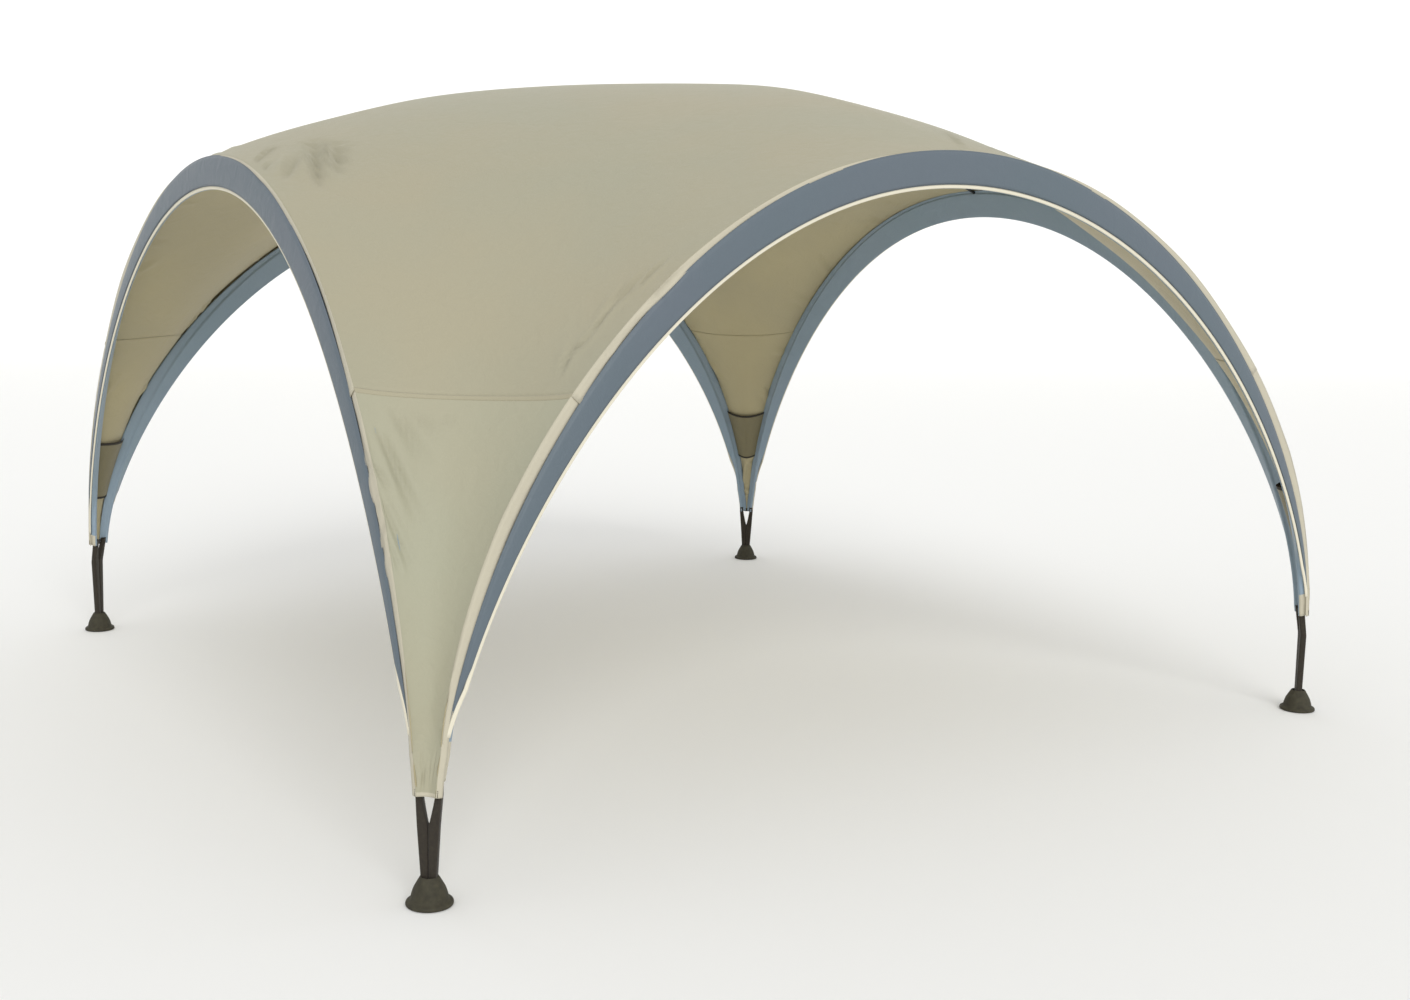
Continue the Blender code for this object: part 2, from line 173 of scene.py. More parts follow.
def metres_over(grid):
    """UV of a grid in metres: the distance run along its rows, and the mean one down them."""
    steps = np.linalg.norm(np.diff(grid, axis=1), axis=-1)
    run = np.concatenate([np.zeros((len(grid), 1)), np.cumsum(steps, axis=1)], axis=1)
    down = np.linalg.norm(np.diff(grid, axis=0), axis=-1).mean(axis=1)
    fall = np.concatenate([[0.0], np.cumsum(down)])
    centred = run - run[:, -1:] / 2
    return np.stack([centred, np.broadcast_to(fall[:, None], centred.shape)], -1)


def make_piece(name, grids, materials, heart=None, thickness=0.0, lined=False):
    """One smooth object from grids of points, merged where they meet, riding on the frame.

    A grid is its points, or its points and its faces' material numbers. With a heart, the
    faces look away from that point. A thickness is added on the inner side, and a lined
    sheet has the next material there.
    """
    mesh = bpy.data.meshes.new(name)
    points, faces, spread, slots, start = [], [], [], [], 0
    for grid in grids:
        grid, numbers = grid if isinstance(grid, tuple) else (grid, 0)
        rows, columns = grid.shape[:2]
        first = start + (np.arange(rows - 1)[:, None] * columns + np.arange(columns - 1)).ravel()
        faces.append(np.stack([first, first + 1, first + columns + 1, first + columns], 1))
        points.append(grid.reshape(-1, 3))
        spread.append(metres_over(grid).reshape(-1, 2))
        slots.append(np.broadcast_to(numbers, (rows - 1, columns - 1)).ravel())
        start += rows * columns
    faces = np.concatenate(faces)
    mesh.from_pydata(np.concatenate(points).tolist(), [], faces.tolist())
    mesh.uv_layers.new(name="metres").data.foreach_set("uv", np.concatenate(spread)[faces].ravel())
    mesh.polygons.foreach_set("material_index", np.concatenate(slots).astype(np.int32))
    work = bmesh.new()
    work.from_mesh(mesh)
    bmesh.ops.remove_doubles(work, verts=work.verts, dist=MERGE)
    bmesh.ops.recalc_face_normals(work, faces=work.faces)
    work.to_mesh(mesh)
    if heart is not None:
        normals, middles = np.empty((2, len(mesh.polygons), 3))
        mesh.polygons.foreach_get("normal", normals.ravel())
        mesh.polygons.foreach_get("center", middles.ravel())
        if np.sum(normals * (middles - np.array(heart))) < 0:
            bmesh.ops.reverse_faces(work, faces=work.faces)
            work.to_mesh(mesh)
    work.free()
    mesh.shade_smooth()
    for material in materials:
        mesh.materials.append(material)
    made = bpy.data.objects.new(name, mesh)
    bpy.context.scene.collection.objects.link(made)
    if thickness:
        wall = made.modifiers.new("wall", "SOLIDIFY")
        wall.thickness = thickness
        wall.offset = -1.0
        wall.material_offset = 1 if lined else 0
    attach(made, "root")
    return made



def add_node(material, kind, inputs=None, **settings):
    """One node with its settings. An input is a value, or another node's output to link."""
    made = material.node_tree.nodes.new(kind)
    for setting, value in settings.items():
        setattr(made, setting, value)
    for socket, value in (inputs or {}).items():
        if isinstance(value, bpy.types.NodeSocket):
            material.node_tree.links.new(value, made.inputs[socket])
        else:
            made.inputs[socket].default_value = value
    return made


def moulded_rubber():
    """Injection moulded rubber: matt, faintly mottled, with fine pores in its surface."""
    made, shader = new_material("moulded_olive_rubber", Roughness=0.78, IOR=1.52, Specular_IOR_Level=0.35)
    place = add_node(made, "ShaderNodeTexCoord").outputs["Object"]
    mottle = add_node(made, "ShaderNodeTexNoise", {"Vector": place, "Scale": 60.0, "Detail": 5.0})
    tone = add_node(made, "ShaderNodeValToRGB", {"Fac": mottle.outputs["Fac"]})
    tone.color_ramp.elements[0].position, tone.color_ramp.elements[1].position = 0.3, 0.75
    tone.color_ramp.elements[0].color = linear("343126")
    tone.color_ramp.elements[1].color = linear("444132")
    pores = add_node(made, "ShaderNodeTexNoise", {"Vector": place, "Scale": 900.0, "Detail": 2.0})
    relief = add_node(made, "ShaderNodeBump", {"Height": pores.outputs["Fac"], "Distance": 0.0006,
                                               "Strength": 0.5})
    made.node_tree.links.new(tone.outputs["Color"], shader.inputs["Base Color"])
    made.node_tree.links.new(relief.outputs["Normal"], shader.inputs["Normal"])
    return made


rubber = moulded_rubber()
cup_middle = {}
for corner in CORNERS:
    low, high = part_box("foot_cup_" + corner)
    cup_middle[corner] = np.array([(low[0] + high[0]) / 2, (low[1] + high[1]) / 2, 0.0])
    bell = smooth_curve(CUP_OUTSIDE + CUP_MOUTH, 4)
    profile = np.concatenate([[(0.0, 0.0)], bell, [(0.0, CUP_MOUTH[-1][1])]])
    cup = make_piece("foot_bell_" + corner, [turned(profile, cup_middle[corner], CUP_SIDES)],
                     [rubber])
    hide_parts("foot_cup_" + corner)

# A leg is a dark webbing sleeve on the end of each of two poles. The sleeves come out of the
# hem apart, meet like a Y and run down side by side, sewn together, into the cup.
SIDES = ("front", "right", "back", "left")
SIDE_ENDS = {"front": ("near", "right"), "right": ("right", "far"),
             "back": ("far", "left"), "left": ("left", "near")}
HALF_SIDE = 1.80            # middle of the tent to the line of the feet
ARCH_TOP = 1.89             # underside of the band at its crown
ROOF_TOP = 2.33
ARCH_BASE = 0.26
BASE_INSET = 0.027
ROUND_ACROSS = 2.02         # exponents of the arch's superellipse
ROUND_UP = 1.55
BOW_BASE = 0.026            # outward bow of the arch's plane: at its base,
BOW_RISE = 0.058            # gained on the way up,
BOW_FALL = 0.103            # and lost again toward the crown
BAND_WIDTH = 0.100
BAND_TAPER = 0.85
BAND_LEAN = 0.11
BAND_START = 0.40
CLOTH_BEHIND = 0.0056       # the roof's edge lies this far behind the band's face
HEART = (0.0, 0.0, HALF_SIDE / 2)
HEM = {corner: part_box("leg_panel_" + corner)[0][2] for corner in CORNERS}
POLE_BEHIND = 0.0260
POLE_SIDE = 0.0096
HEM_LAYERS = 0.0092         # cloth and hem bar between the outside and the sleeves
SLEEVE_DEPTH = 0.022
SLEEVE_OUTER = (0.0360, 0.0212)     # half width of the pair at the hem and in the cup
SLEEVE_INNER = 0.0175               # half width of the opening between them at the hem
SLEEVE_SPLIT = 0.078                # length of that opening
SLEEVE_FLATNESS = 4.5
SLEEVE_SIDES = 36
SLEEVE_ROWS = 44
SLEEVE_TUCK = 0.025
SLEEVE_END = 0.064
SLEEVE_GAP = 0.0002


def opening_edge(share):
    """Superellipse from the crown (0) to the base (1), as distance across, height and bow."""
    angle = (1 - np.asarray(share, float)) * math.pi / 2
    across = (HALF_SIDE - BASE_INSET) * np.maximum(np.cos(angle), 0) ** (2 / ROUND_ACROSS)
    rise = np.maximum(np.sin(angle), 0) ** (2 / ROUND_UP)
    height = ARCH_BASE + (ARCH_TOP - ARCH_BASE) * rise
    return across, height, BOW_BASE + BOW_RISE * rise - BOW_FALL * rise ** 2


def away_from_opening(share):
    """Unit direction in the arch's plane, across and up, square to its edge and outward."""
    step = 1e-4
    low, high = np.clip(share - step, 0, 1), np.clip(share + step, 0, 1)
    run = opening_edge(high)[0] - opening_edge(low)[0]
    fall = opening_edge(low)[1] - opening_edge(high)[1]
    return fall / np.hypot(run, fall), run / np.hypot(run, fall)


def band_width(share):
    """Width of the coloured band: a power of how far the edge has risen above its start."""
    grown = (opening_edge(share)[1] - BAND_START) / (ARCH_TOP - BAND_START)
    return BAND_WIDTH * np.clip(grown, 0, 1) ** BAND_TAPER


def on_arch(side, end, share, away=0.0, inward=0.0):
    """Points by a half arch, measured from the band's upper edge: away from the opening in
    the arch's plane, and inward. Front points are turned a quarter for each further side."""
    share = np.asarray(share, float)
    across, up, bow = opening_edge(share)
    beside, rise = away_from_opening(share)
    width = band_width(share)
    reach = width * math.cos(BAND_LEAN) + away
    direction = -1 if SIDE_ENDS[side][0] == end else 1
    points = np.stack([direction * (across + reach * beside),
                       -(HALF_SIDE + bow - width * math.sin(BAND_LEAN) - inward),
                       up + reach * rise], -1)
    for _ in range(SIDES.index(side)):
        points = np.stack([-points[..., 1], points[..., 0], points[..., 2]], -1)
    return points


def share_at(height):
    """Share along an arch where its edge has come down to a height."""
    shares = np.linspace(0, 1, 4001)
    return float(np.interp(-height, -opening_edge(shares)[1], shares))


def corner_sides(corner):
    """The two arches that meet at a corner."""
    return [side for side in SIDES if corner in SIDE_ENDS[side]]


def sleeve_frame(side, corner):
    """Where a sleeve runs: its mouth, the foot's middle, and the directions along the hem, to
    its own side, and outward."""
    middle = cup_middle[corner]
    outward = middle / np.linalg.norm(middle)
    mouth, level = on_arch(side, corner, [share_at(HEM[corner] + SLEEVE_TUCK), share_at(HEM[corner])],
                           -POLE_SIDE, POLE_BEHIND)
    face = on_arch(side, corner, share_at(HEM[corner]), 0.0, CLOTH_BEHIND) @ outward
    shift = face - HEM_LAYERS - SLEEVE_DEPTH / 2 - level @ outward
    along = np.cross(outward, [0.0, 0.0, 1.0])
    along *= np.sign(np.dot(level - middle, along))
    return mouth + shift * outward, level + shift * outward, middle, along, outward


def sleeve_surface(side, corner):
    """A superellipse carried down the sleeve and closed at its ends.

    The pair's outer edges run straight from the hem to the cup. The edges between them run
    together with a power of the depth below the hem, and stay together from there down.
    """
    mouth, level, middle, along, outward = sleeve_frame(side, corner)
    top, hem = HEM[corner] + SLEEVE_TUCK, HEM[corner]
    height = np.linspace(top, SLEEVE_END, SLEEVE_ROWS)[:, None]
    below = np.maximum(hem - height, 0)
    outer = SLEEVE_OUTER[0] + (SLEEVE_OUTER[1] - SLEEVE_OUTER[0]) * below / (hem - SLEEVE_END)
    inner = SLEEVE_INNER * np.maximum(1 - below / SLEEVE_SPLIT, 0) ** 0.8 + SLEEVE_GAP
    depth = np.interp(height[:, 0], [SLEEVE_END, hem - SLEEVE_SPLIT, top],
                      [0.0, 0.0, (level - middle) @ outward])[:, None]
    angle = np.linspace(0, 2 * math.pi, SLEEVE_SIDES + 1)
    power = 2 / SLEEVE_FLATNESS
    one = np.sign(np.cos(angle)) * np.abs(np.cos(angle)) ** power
    two = np.sign(np.sin(angle)) * np.abs(np.sin(angle)) ** power
    across = (outer + inner) / 2 + (outer - inner) / 2 * one
    deep = depth + SLEEVE_DEPTH / 2 * two
    rings = middle + across[..., None] * along + deep[..., None] * outward
    rings[..., 2] = height
    caps = np.repeat(rings[[0, -1]].mean(axis=1, keepdims=True), SLEEVE_SIDES + 1, 1)
    return np.concatenate([caps[:1], rings, caps[1:]])


def dark_webbing():
    """Woven polyester webbing, dark brown: close ribs across the strap, a dry soft shine.

    The ribs of the real webbing are about 1 mm apart. They are drawn 2.6 mm apart to show.
    """
    made, shader = new_material("dark_brown_webbing", Roughness=0.72, IOR=1.5, Sheen_Weight=0.12,
                                Specular_IOR_Level=0.35)
    place = add_node(made, "ShaderNodeTexCoord")
    ribs = add_node(made, "ShaderNodeTexWave", {"Vector": place.outputs["UV"], "Scale": 120.0,
                                                "Distortion": 0.6, "Detail": 1.0}, bands_direction="Y")
    grain = add_node(made, "ShaderNodeTexNoise", {"Vector": place.outputs["Object"], "Scale": 120.0,
                                                  "Detail": 4.0})
    tone = add_node(made, "ShaderNodeValToRGB", {"Fac": grain.outputs["Fac"]})
    tone.color_ramp.elements[0].position, tone.color_ramp.elements[1].position = 0.3, 0.8
    tone.color_ramp.elements[0].color = linear("272119")
    tone.color_ramp.elements[1].color = linear("352f23")
    relief = add_node(made, "ShaderNodeBump", {"Height": ribs.outputs["Fac"], "Distance": 0.0008,
                                               "Strength": 0.6})
    made.node_tree.links.new(tone.outputs["Color"], shader.inputs["Base Color"])
    made.node_tree.links.new(relief.outputs["Normal"], shader.inputs["Normal"])
    return made


webbing = dark_webbing()
for corner in CORNERS:
    for side in corner_sides(corner):
        sleeve = make_piece(f"webbing_sleeve_{corner}_{side}", [sleeve_surface(side, corner)],
                            [webbing])
        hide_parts(f"leg_sleeve_{corner}_{side}")

# Four arch poles and two crossing roof poles, thin steel tube with a dark satin coating. An
# arch pole runs in the band's tunnel and ends in the mouths of two sleeves.
POLE_RADIUS = 0.0065
POLE_SIDES = 16
POLE_STEPS = 70
POLE_STRAIGHT = 0.44        # height below which a pole eases over to its sleeve
POLE_ENTRY = 0.020
ROOF_CURVE = 2.12
# Each roof pole: the arches it spans, its depth below the roof, and how short it stops of the crowns.
ROOF_POLES = {"left_right": (("left", "right"), 0.0126, 0.0248),
              "front_back": (("front", "back"), 0.0251, 0.0287)}


def tube(path, across, radii, sides, power=1.0):
    """A ring of two radii carried along a path and closed at its ends; across is a direction
    that the path never takes. A power under 1 squares the ring up."""
    tangent = np.gradient(path, axis=0)
    tangent /= np.linalg.norm(tangent, axis=1, keepdims=True)
    second = np.cross(tangent, across)
    second /= np.linalg.norm(second, axis=1, keepdims=True)
    first = np.cross(second, tangent)
    angle = np.linspace(0, 2 * math.pi, sides + 1)[None, :, None]
    one = np.sign(np.cos(angle)) * np.abs(np.cos(angle)) ** power
    two = np.sign(np.sin(angle)) * np.abs(np.sin(angle)) ** power
    rings = path[:, None] + radii[0] * one * first[:, None] + radii[1] * two * second[:, None]
    caps = np.repeat(path[[0, -1], None], sides + 1, 1)
    return np.concatenate([caps[:1], rings, caps[1:]])


def joined(halves):
    """Two halves that start from the same crown, as one run from end to end."""
    return np.concatenate([halves[0][::-1], halves[1][1:]])


def arch_direction(side):
    """Outward direction of an arch."""
    quarter = SIDES.index(side) * math.pi / 2
    return np.array([math.sin(quarter), -math.cos(quarter), 0.0])


def roof_fall(crown, share):
    """Line of the roof from its middle (0) to a crown (1): it falls with a power of the share."""
    height = crown[2] + (ROOF_TOP - crown[2]) * (1 - share ** ROOF_CURVE)
    return np.stack([crown[0] * share, crown[1] * share, height], -1)


def coated_steel():
    """Steel tube, powder coated near black: satin, with faint scuffs along the tube."""
    made, shader = new_material("dark_coated_steel", Base_Color=linear("201f1d"), IOR=1.5)
    place = add_node(made, "ShaderNodeTexCoord").outputs["Object"]
    scuffs = add_node(made, "ShaderNodeTexNoise", {"Vector": place, "Scale": 90.0, "Detail": 3.0})
    shine = add_node(made, "ShaderNodeMapRange", {"Value": scuffs.outputs["Fac"], "To Min": 0.30,
                                                  "To Max": 0.55})
    made.node_tree.links.new(shine.outputs["Result"], shader.inputs["Roughness"])
    return made


steel = coated_steel()
for side in SIDES:
    halves = []
    for end in SIDE_ENDS[side]:
        mouth = sleeve_frame(side, end)[0]
        shares = np.linspace(0, share_at(POLE_STRAIGHT), POLE_STEPS)
        upper = on_arch(side, end, shares, -POLE_SIDE, POLE_BEHIND)
        lower = smooth_curve([upper[-1], mouth + [0, 0, POLE_ENTRY], mouth], 4)
        halves.append(np.concatenate([upper, lower[1:]]))
    pole = make_piece("arch_tube_" + side,
                      [tube(joined(halves), arch_direction(side), (POLE_RADIUS, POLE_RADIUS), POLE_SIDES)],
                      [steel])
    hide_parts("arch_pole_" + side)
for name, (ends, depth, stop) in ROOF_POLES.items():
    halves = []
    for side in ends:
        crown = on_arch(side, SIDE_ENDS[side][0], 0.0, 0.0, CLOTH_BEHIND)
        shares = np.linspace(0, 1 - stop / np.hypot(crown[0], crown[1]), POLE_STEPS)
        halves.append(roof_fall(crown, shares) - [0.0, 0.0, depth])
    pole = make_piece("roof_tube_" + name,
                      [tube(joined(halves), np.array([0.0, 0.0, 1.0]), (POLE_RADIUS, POLE_RADIUS),
                            POLE_SIDES)],
                      [steel])
    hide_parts("roof_pole_" + name)

# The roof is one sheet of coated polyester, cut with a tongue down each leg and pulled tight
# over the poles. Along each arch its edge is folded flat beside the band, as the pole's pocket.
SEAM_HEIGHT = 1.24
ROOF_FLATTEN = 0.106
ROW_LIFT = 0.38
FOLD_WIDEST = 0.042         # width of the folded edge where it is widest,
FOLD_WIDEST_AT = 0.95       # at this height,
FOLD_LEAST = 0.0125         # and at the hem
FOLD_TAPER = 0.60
HEM_SPREAD = 0.0070         # how far the cloth reaches past the arch's edge at the hem,
HEM_SPREAD_TOP = 0.52       # from this height down
FOLD_COLUMNS = 3
EDGE_CROWDING = 0.11        # how far the columns are drawn toward the arches
ROOF_ROWS = 64
TONGUE_ROWS = 68
ROOF_COLUMNS = 74
FOLD_FLARE = 0.0035         # the folded edge stands open at the seam by this,
FLARE_ROWS = 9              # and less and less over this many rows above it
CLOTH = 0.0012
SAND_HEX = "a6a088"
SAND_GREEN_HEX = "a3a08a"
# The inside of the sand cloth has the coated side's more olive tone, and is made lighter than the outside as
# painted light for the light let through into the tent.
SAND_COATED_SIDE_PAINTED_LIGHT_HEX = "b2a885"
SAND_COATED_SIDE_PAINTED_LIGHT_GREEN_HEX = "aca384"
FOLD_HEX = "bfb9a5"


def fold_width(share, corner):
    """Width of the folded edge: it grows evenly from the hem, then tapers off to the crown."""
    height = opening_edge(share)[1]
    low = np.interp(height, (HEM[corner], FOLD_WIDEST_AT), (FOLD_LEAST, FOLD_WIDEST))
    high = np.clip((ARCH_TOP - height) / (ARCH_TOP - FOLD_WIDEST_AT), 0, 1) ** FOLD_TAPER
    return np.where(height < FOLD_WIDEST_AT, low, FOLD_WIDEST * high)


def quarter(corner, first, second):
    """Roof quarter at shares from the middle (0) to its two arches (1): the two ruled surfaces
    between opposite borders, less the bilinear one, pulled in at the centre but not on the leg."""
    sides = corner_sides(corner)
    hem = share_at(HEM[corner])
    crowns = [on_arch(side, corner, 0.0, 0.0, CLOTH_BEHIND) for side in sides]
    foot = sum(on_arch(side, corner, hem, 0.0, CLOTH_BEHIND) for side in sides) / 2
    middle = np.array([0.0, 0.0, ROOF_TOP])
    u, v = first[..., None], second[..., None]
    edges = [on_arch(side, corner, share * hem, 0.0, CLOTH_BEHIND)
             for side, share in zip(sides, (second, first))]
    patch = ((1 - u) * roof_fall(crowns[1], second) + u * edges[0]
             + (1 - v) * roof_fall(crowns[0], first) + v * edges[1]
             - (1 - u) * (1 - v) * middle - (1 - u) * v * crowns[1] - u * (1 - v) * crowns[0] - u * v * foot)
    out = patch - np.array(HEART)
    out /= np.linalg.norm(out, axis=-1, keepdims=True)
    down_leg = np.maximum(u + v - 1, 0)
    pull = 16 * u * (1 - u) * v * (1 - v) * (1 - down_leg ** 2) ** 2
    return patch - ROOF_FLATTEN * pull * out


def crowded(columns):
    """Shares across a row, drawn toward both ends by a sine."""
    even = np.linspace(0, 1, columns + 1)
    return even - EDGE_CROWDING * np.sin(2 * math.pi * even)


def middle_grid(corner, rows, columns):
    """Grid of a quarter from the middle out to the line between its two crowns."""
    along = crowded(columns)
    reach = np.linspace(0, 1, rows + 1)[:, None]
    return quarter(corner, reach * (1 - along), reach * along)


def leg_grid(corner, shares, columns):
    """Grid of a quarter across the leg, a row for each share down its arches.

    The folded edges lie in the arches' planes. Beside them the sheet is raised to meet them,
    by a square that dies out at the leg's middle.
    """
    sides = corner_sides(corner)
    hem = share_at(HEM[corner])
    below_top = (HEM_SPREAD_TOP - opening_edge(shares)[1]) / (HEM_SPREAD_TOP - HEM[corner])
    spread = -HEM_SPREAD * np.clip(below_top, 0, 1)
    starts, ends = (on_arch(side, corner, shares, spread, CLOTH_BEHIND) for side in sides)
    folded = fold_width(shares, corner)
    span = np.maximum(np.linalg.norm(ends - starts, axis=1), 2.5 * folded)
    strip = (folded / span)[:, None]
    inner = crowded(columns)
    edge = np.linspace(0, 1, FOLD_COLUMNS + 1)[:-1]
    along = np.concatenate([strip * edge, strip + (1 - 2 * strip) * inner, 1 - strip * edge[::-1]], axis=1)
    down = (shares / hem)[:, None]
    lift = ROW_LIFT * down * (1 - down) ** 2 * 4 * along * (1 - along)
    rows = quarter(corner, 1 - (1 - down) * along - lift, down + (1 - down) * along - lift)
    blend = along[..., None]
    rows += (1 - blend) * (starts[:, None] - rows[:, :1]) + blend * (ends[:, None] - rows[:, -1:])
    fold_first = on_arch(sides[0], corner, shares, folded, CLOTH_BEHIND)
    fold_last = on_arch(sides[1], corner, shares, folded, CLOTH_BEHIND)
    near_first = np.clip(1 - 2 * inner, 0, 1)[None, :, None] ** 2
    near_last = np.clip(2 * inner - 1, 0, 1)[None, :, None] ** 2
    sheet = (rows[:, FOLD_COLUMNS:-FOLD_COLUMNS]
             + near_first * (fold_first - rows[:, FOLD_COLUMNS])[:, None]
             + near_last * (fold_last - rows[:, -FOLD_COLUMNS - 1])[:, None])
    first = starts[:, None] + edge[None, :, None] * (fold_first - starts)[:, None]
    last = ends[:, None] + edge[None, ::-1, None] * (fold_last - ends)[:, None]
    return np.concatenate([first, sheet, last], axis=1)


def fold_numbers(grid):
    """Material numbers of a leg grid: 2 on the folded edges and 0 between them."""
    numbers = np.zeros((grid.shape[0] - 1, grid.shape[1] - 1), int)
    numbers[:, :FOLD_COLUMNS] = 2
    numbers[:, -FOLD_COLUMNS:] = 2
    return numbers


def crease_relief(points, normals, creases):
    """Height of creases at points: across each (1 - 2q²)·exp(-q²), a valley between two ridges,
    and a sine along it. q is the distance from the crease's line in half widths, measured on
    the cloth by leaving out what lies along the normal."""
    height = np.zeros(len(points))
    for start, end, half, rise in creases:
        run = np.array(end) - np.array(start)
        offset = points - np.array(start)
        above = np.sum(offset * normals, axis=1)
        along = np.clip(offset @ run / (run @ run), 0, 1)
        flat = offset - along[:, None] * run
        flat -= np.sum(flat * normals, axis=1)[:, None] * normals
        across = (np.linalg.norm(flat, axis=1) / (half * (0.75 + 0.5 * along))) ** 2
        shape = np.sin(math.pi * along ** 0.8) * (1 - 2 * across) * np.exp(-across)
        height += np.where(np.abs(above) < CREASE_REACH, rise * shape, 0)
    return height


# Creases fan out from where the cloth is pulled over the poles, short and sharp at an arch's
# crown, long and shallow on a leg. Each is a start, an end, a half width and a height. Those
# listed are on the near quarter of the roof, and a seeded draw places the others.
CREASES = [
    ((-1.746, -0.417, 1.939), (-1.610, -0.245, 2.015), 0.013, -0.0120),
    ((-1.752, -0.502, 1.909), (-1.680, -0.430, 1.945), 0.012, -0.0088),
    ((-1.723, -0.613, 1.879), (-1.600, -0.410, 1.975), 0.026, -0.0160),
    ((-1.650, -0.720, 1.855), (-1.500, -0.270, 2.045), 0.029, -0.0272),
    ((-1.565, -0.660, 1.900), (-1.460, -0.370, 2.032), 0.028, -0.0208),
    ((-1.250, -1.704, 1.444), (-1.119, -1.662, 1.582), 0.014, -0.0112),
    ((-1.185, -1.699, 1.507), (-1.048, -1.681, 1.631), 0.013, -0.0104),
    ((-1.142, -1.710, 1.545), (-1.014, -1.710, 1.648), 0.012, -0.0096),
    ((-1.348, -1.714, 1.335), (-1.289, -1.663, 1.427), 0.016, -0.0088),
    ((-1.298, -1.701, 1.397), (-1.253, -1.698, 1.444), 0.012, -0.0080),
    ((-1.722, -1.418, 1.249), (-1.675, -1.563, 1.100), 0.022, -0.0120),
    ((-1.775, -1.434, 1.196), (-1.725, -1.628, 0.947), 0.021, -0.0136),
    ((-1.665, -1.456, 1.243), (-1.633, -1.532, 1.180), 0.017, -0.0080),
    ((-1.611, -1.498, 1.238), (-1.594, -1.550, 1.199), 0.015, -0.0064),
    ((-1.819, -1.533, 1.020), (-1.767, -1.660, 0.830), 0.013, -0.0088),
    ((-1.820, -1.480, 1.110), (-1.779, -1.546, 1.025), 0.012, -0.0072),
    ((-1.820, -1.593, 0.908), (-1.796, -1.640, 0.834), 0.010, -0.0064),
]
EDGE_CREASES = 9
CREASE_REACH = 0.15         # a crease leaves cloth further off than this along the normal alone
# Each pleat at a hem: its columns of a coarse leg grid at its top and bottom, and its top row.
PLEAT_HEIGHTS = (0.135, 0.100, 0.015, 0.002)
PLEATS = ((9, 12, 0), (12, 13, 1), (14, 17, 1), (16, 15, 0))
COARSE_COLUMNS = 20
CLOTH_UNEVEN = 0.0024
draw = np.random.RandomState(11)
for corner in ("right", "far", "left"):
    for hand in (0, 1):
        for place in np.linspace(0.03, 0.93, EDGE_CREASES) + draw.uniform(-0.04, 0.04, EDGE_CREASES):
            reach, slip = draw.uniform(0.07, 0.16), draw.uniform(-0.05, 0.10)
            pair = np.array([[0.985, place], [0.985 - reach * (1 - 0.35 * place), place + slip]])
            if hand:
                pair = pair[:, ::-1]
            start, end = quarter(corner, *np.clip(pair, 0, 1).T)
            CREASES.append((start, end, draw.uniform(0.013, 0.028), -draw.uniform(0.0040, 0.0110)))
for corner in CORNERS:
    shares = np.array([share_at(HEM[corner] + height) for height in PLEAT_HEIGHTS])
    rows = leg_grid(corner, shares, COARSE_COLUMNS)
    for top, bottom, row in PLEATS:
        half, rise = draw.uniform(0.004, 0.006), -draw.uniform(0.0016, 0.0026)
        CREASES.append((rows[row, top], rows[-1, bottom], half, rise))


def cloth_relief(points, normals):
    """Height of the cloth over its smooth shape: its creases, and a slow unevenness of sines."""
    x, y, z = points.T
    slow = CLOTH_UNEVEN * (np.sin(5.1 * x + 1.3) * np.sin(4.3 * y + 0.4)
                           + np.sin(8.7 * x - 6.1 * y) * np.sin(7.9 * z + 0.7))
    return slow + crease_relief(points, normals, CREASES)


def crease_cloth(piece):
    """Moves a piece's points along their normals by the cloth's relief."""
    mesh = piece.data
    points = np.empty(len(mesh.vertices) * 3)
    normals = np.empty(len(mesh.vertices) * 3)
    mesh.vertices.foreach_get("co", points)
    mesh.vertex_normals.foreach_get("vector", normals)
    points, normals = points.reshape(-1, 3), normals.reshape(-1, 3)
    points += cloth_relief(points, normals)[:, None] * normals
    mesh.vertices.foreach_set("co", points.ravel())
    mesh.update()


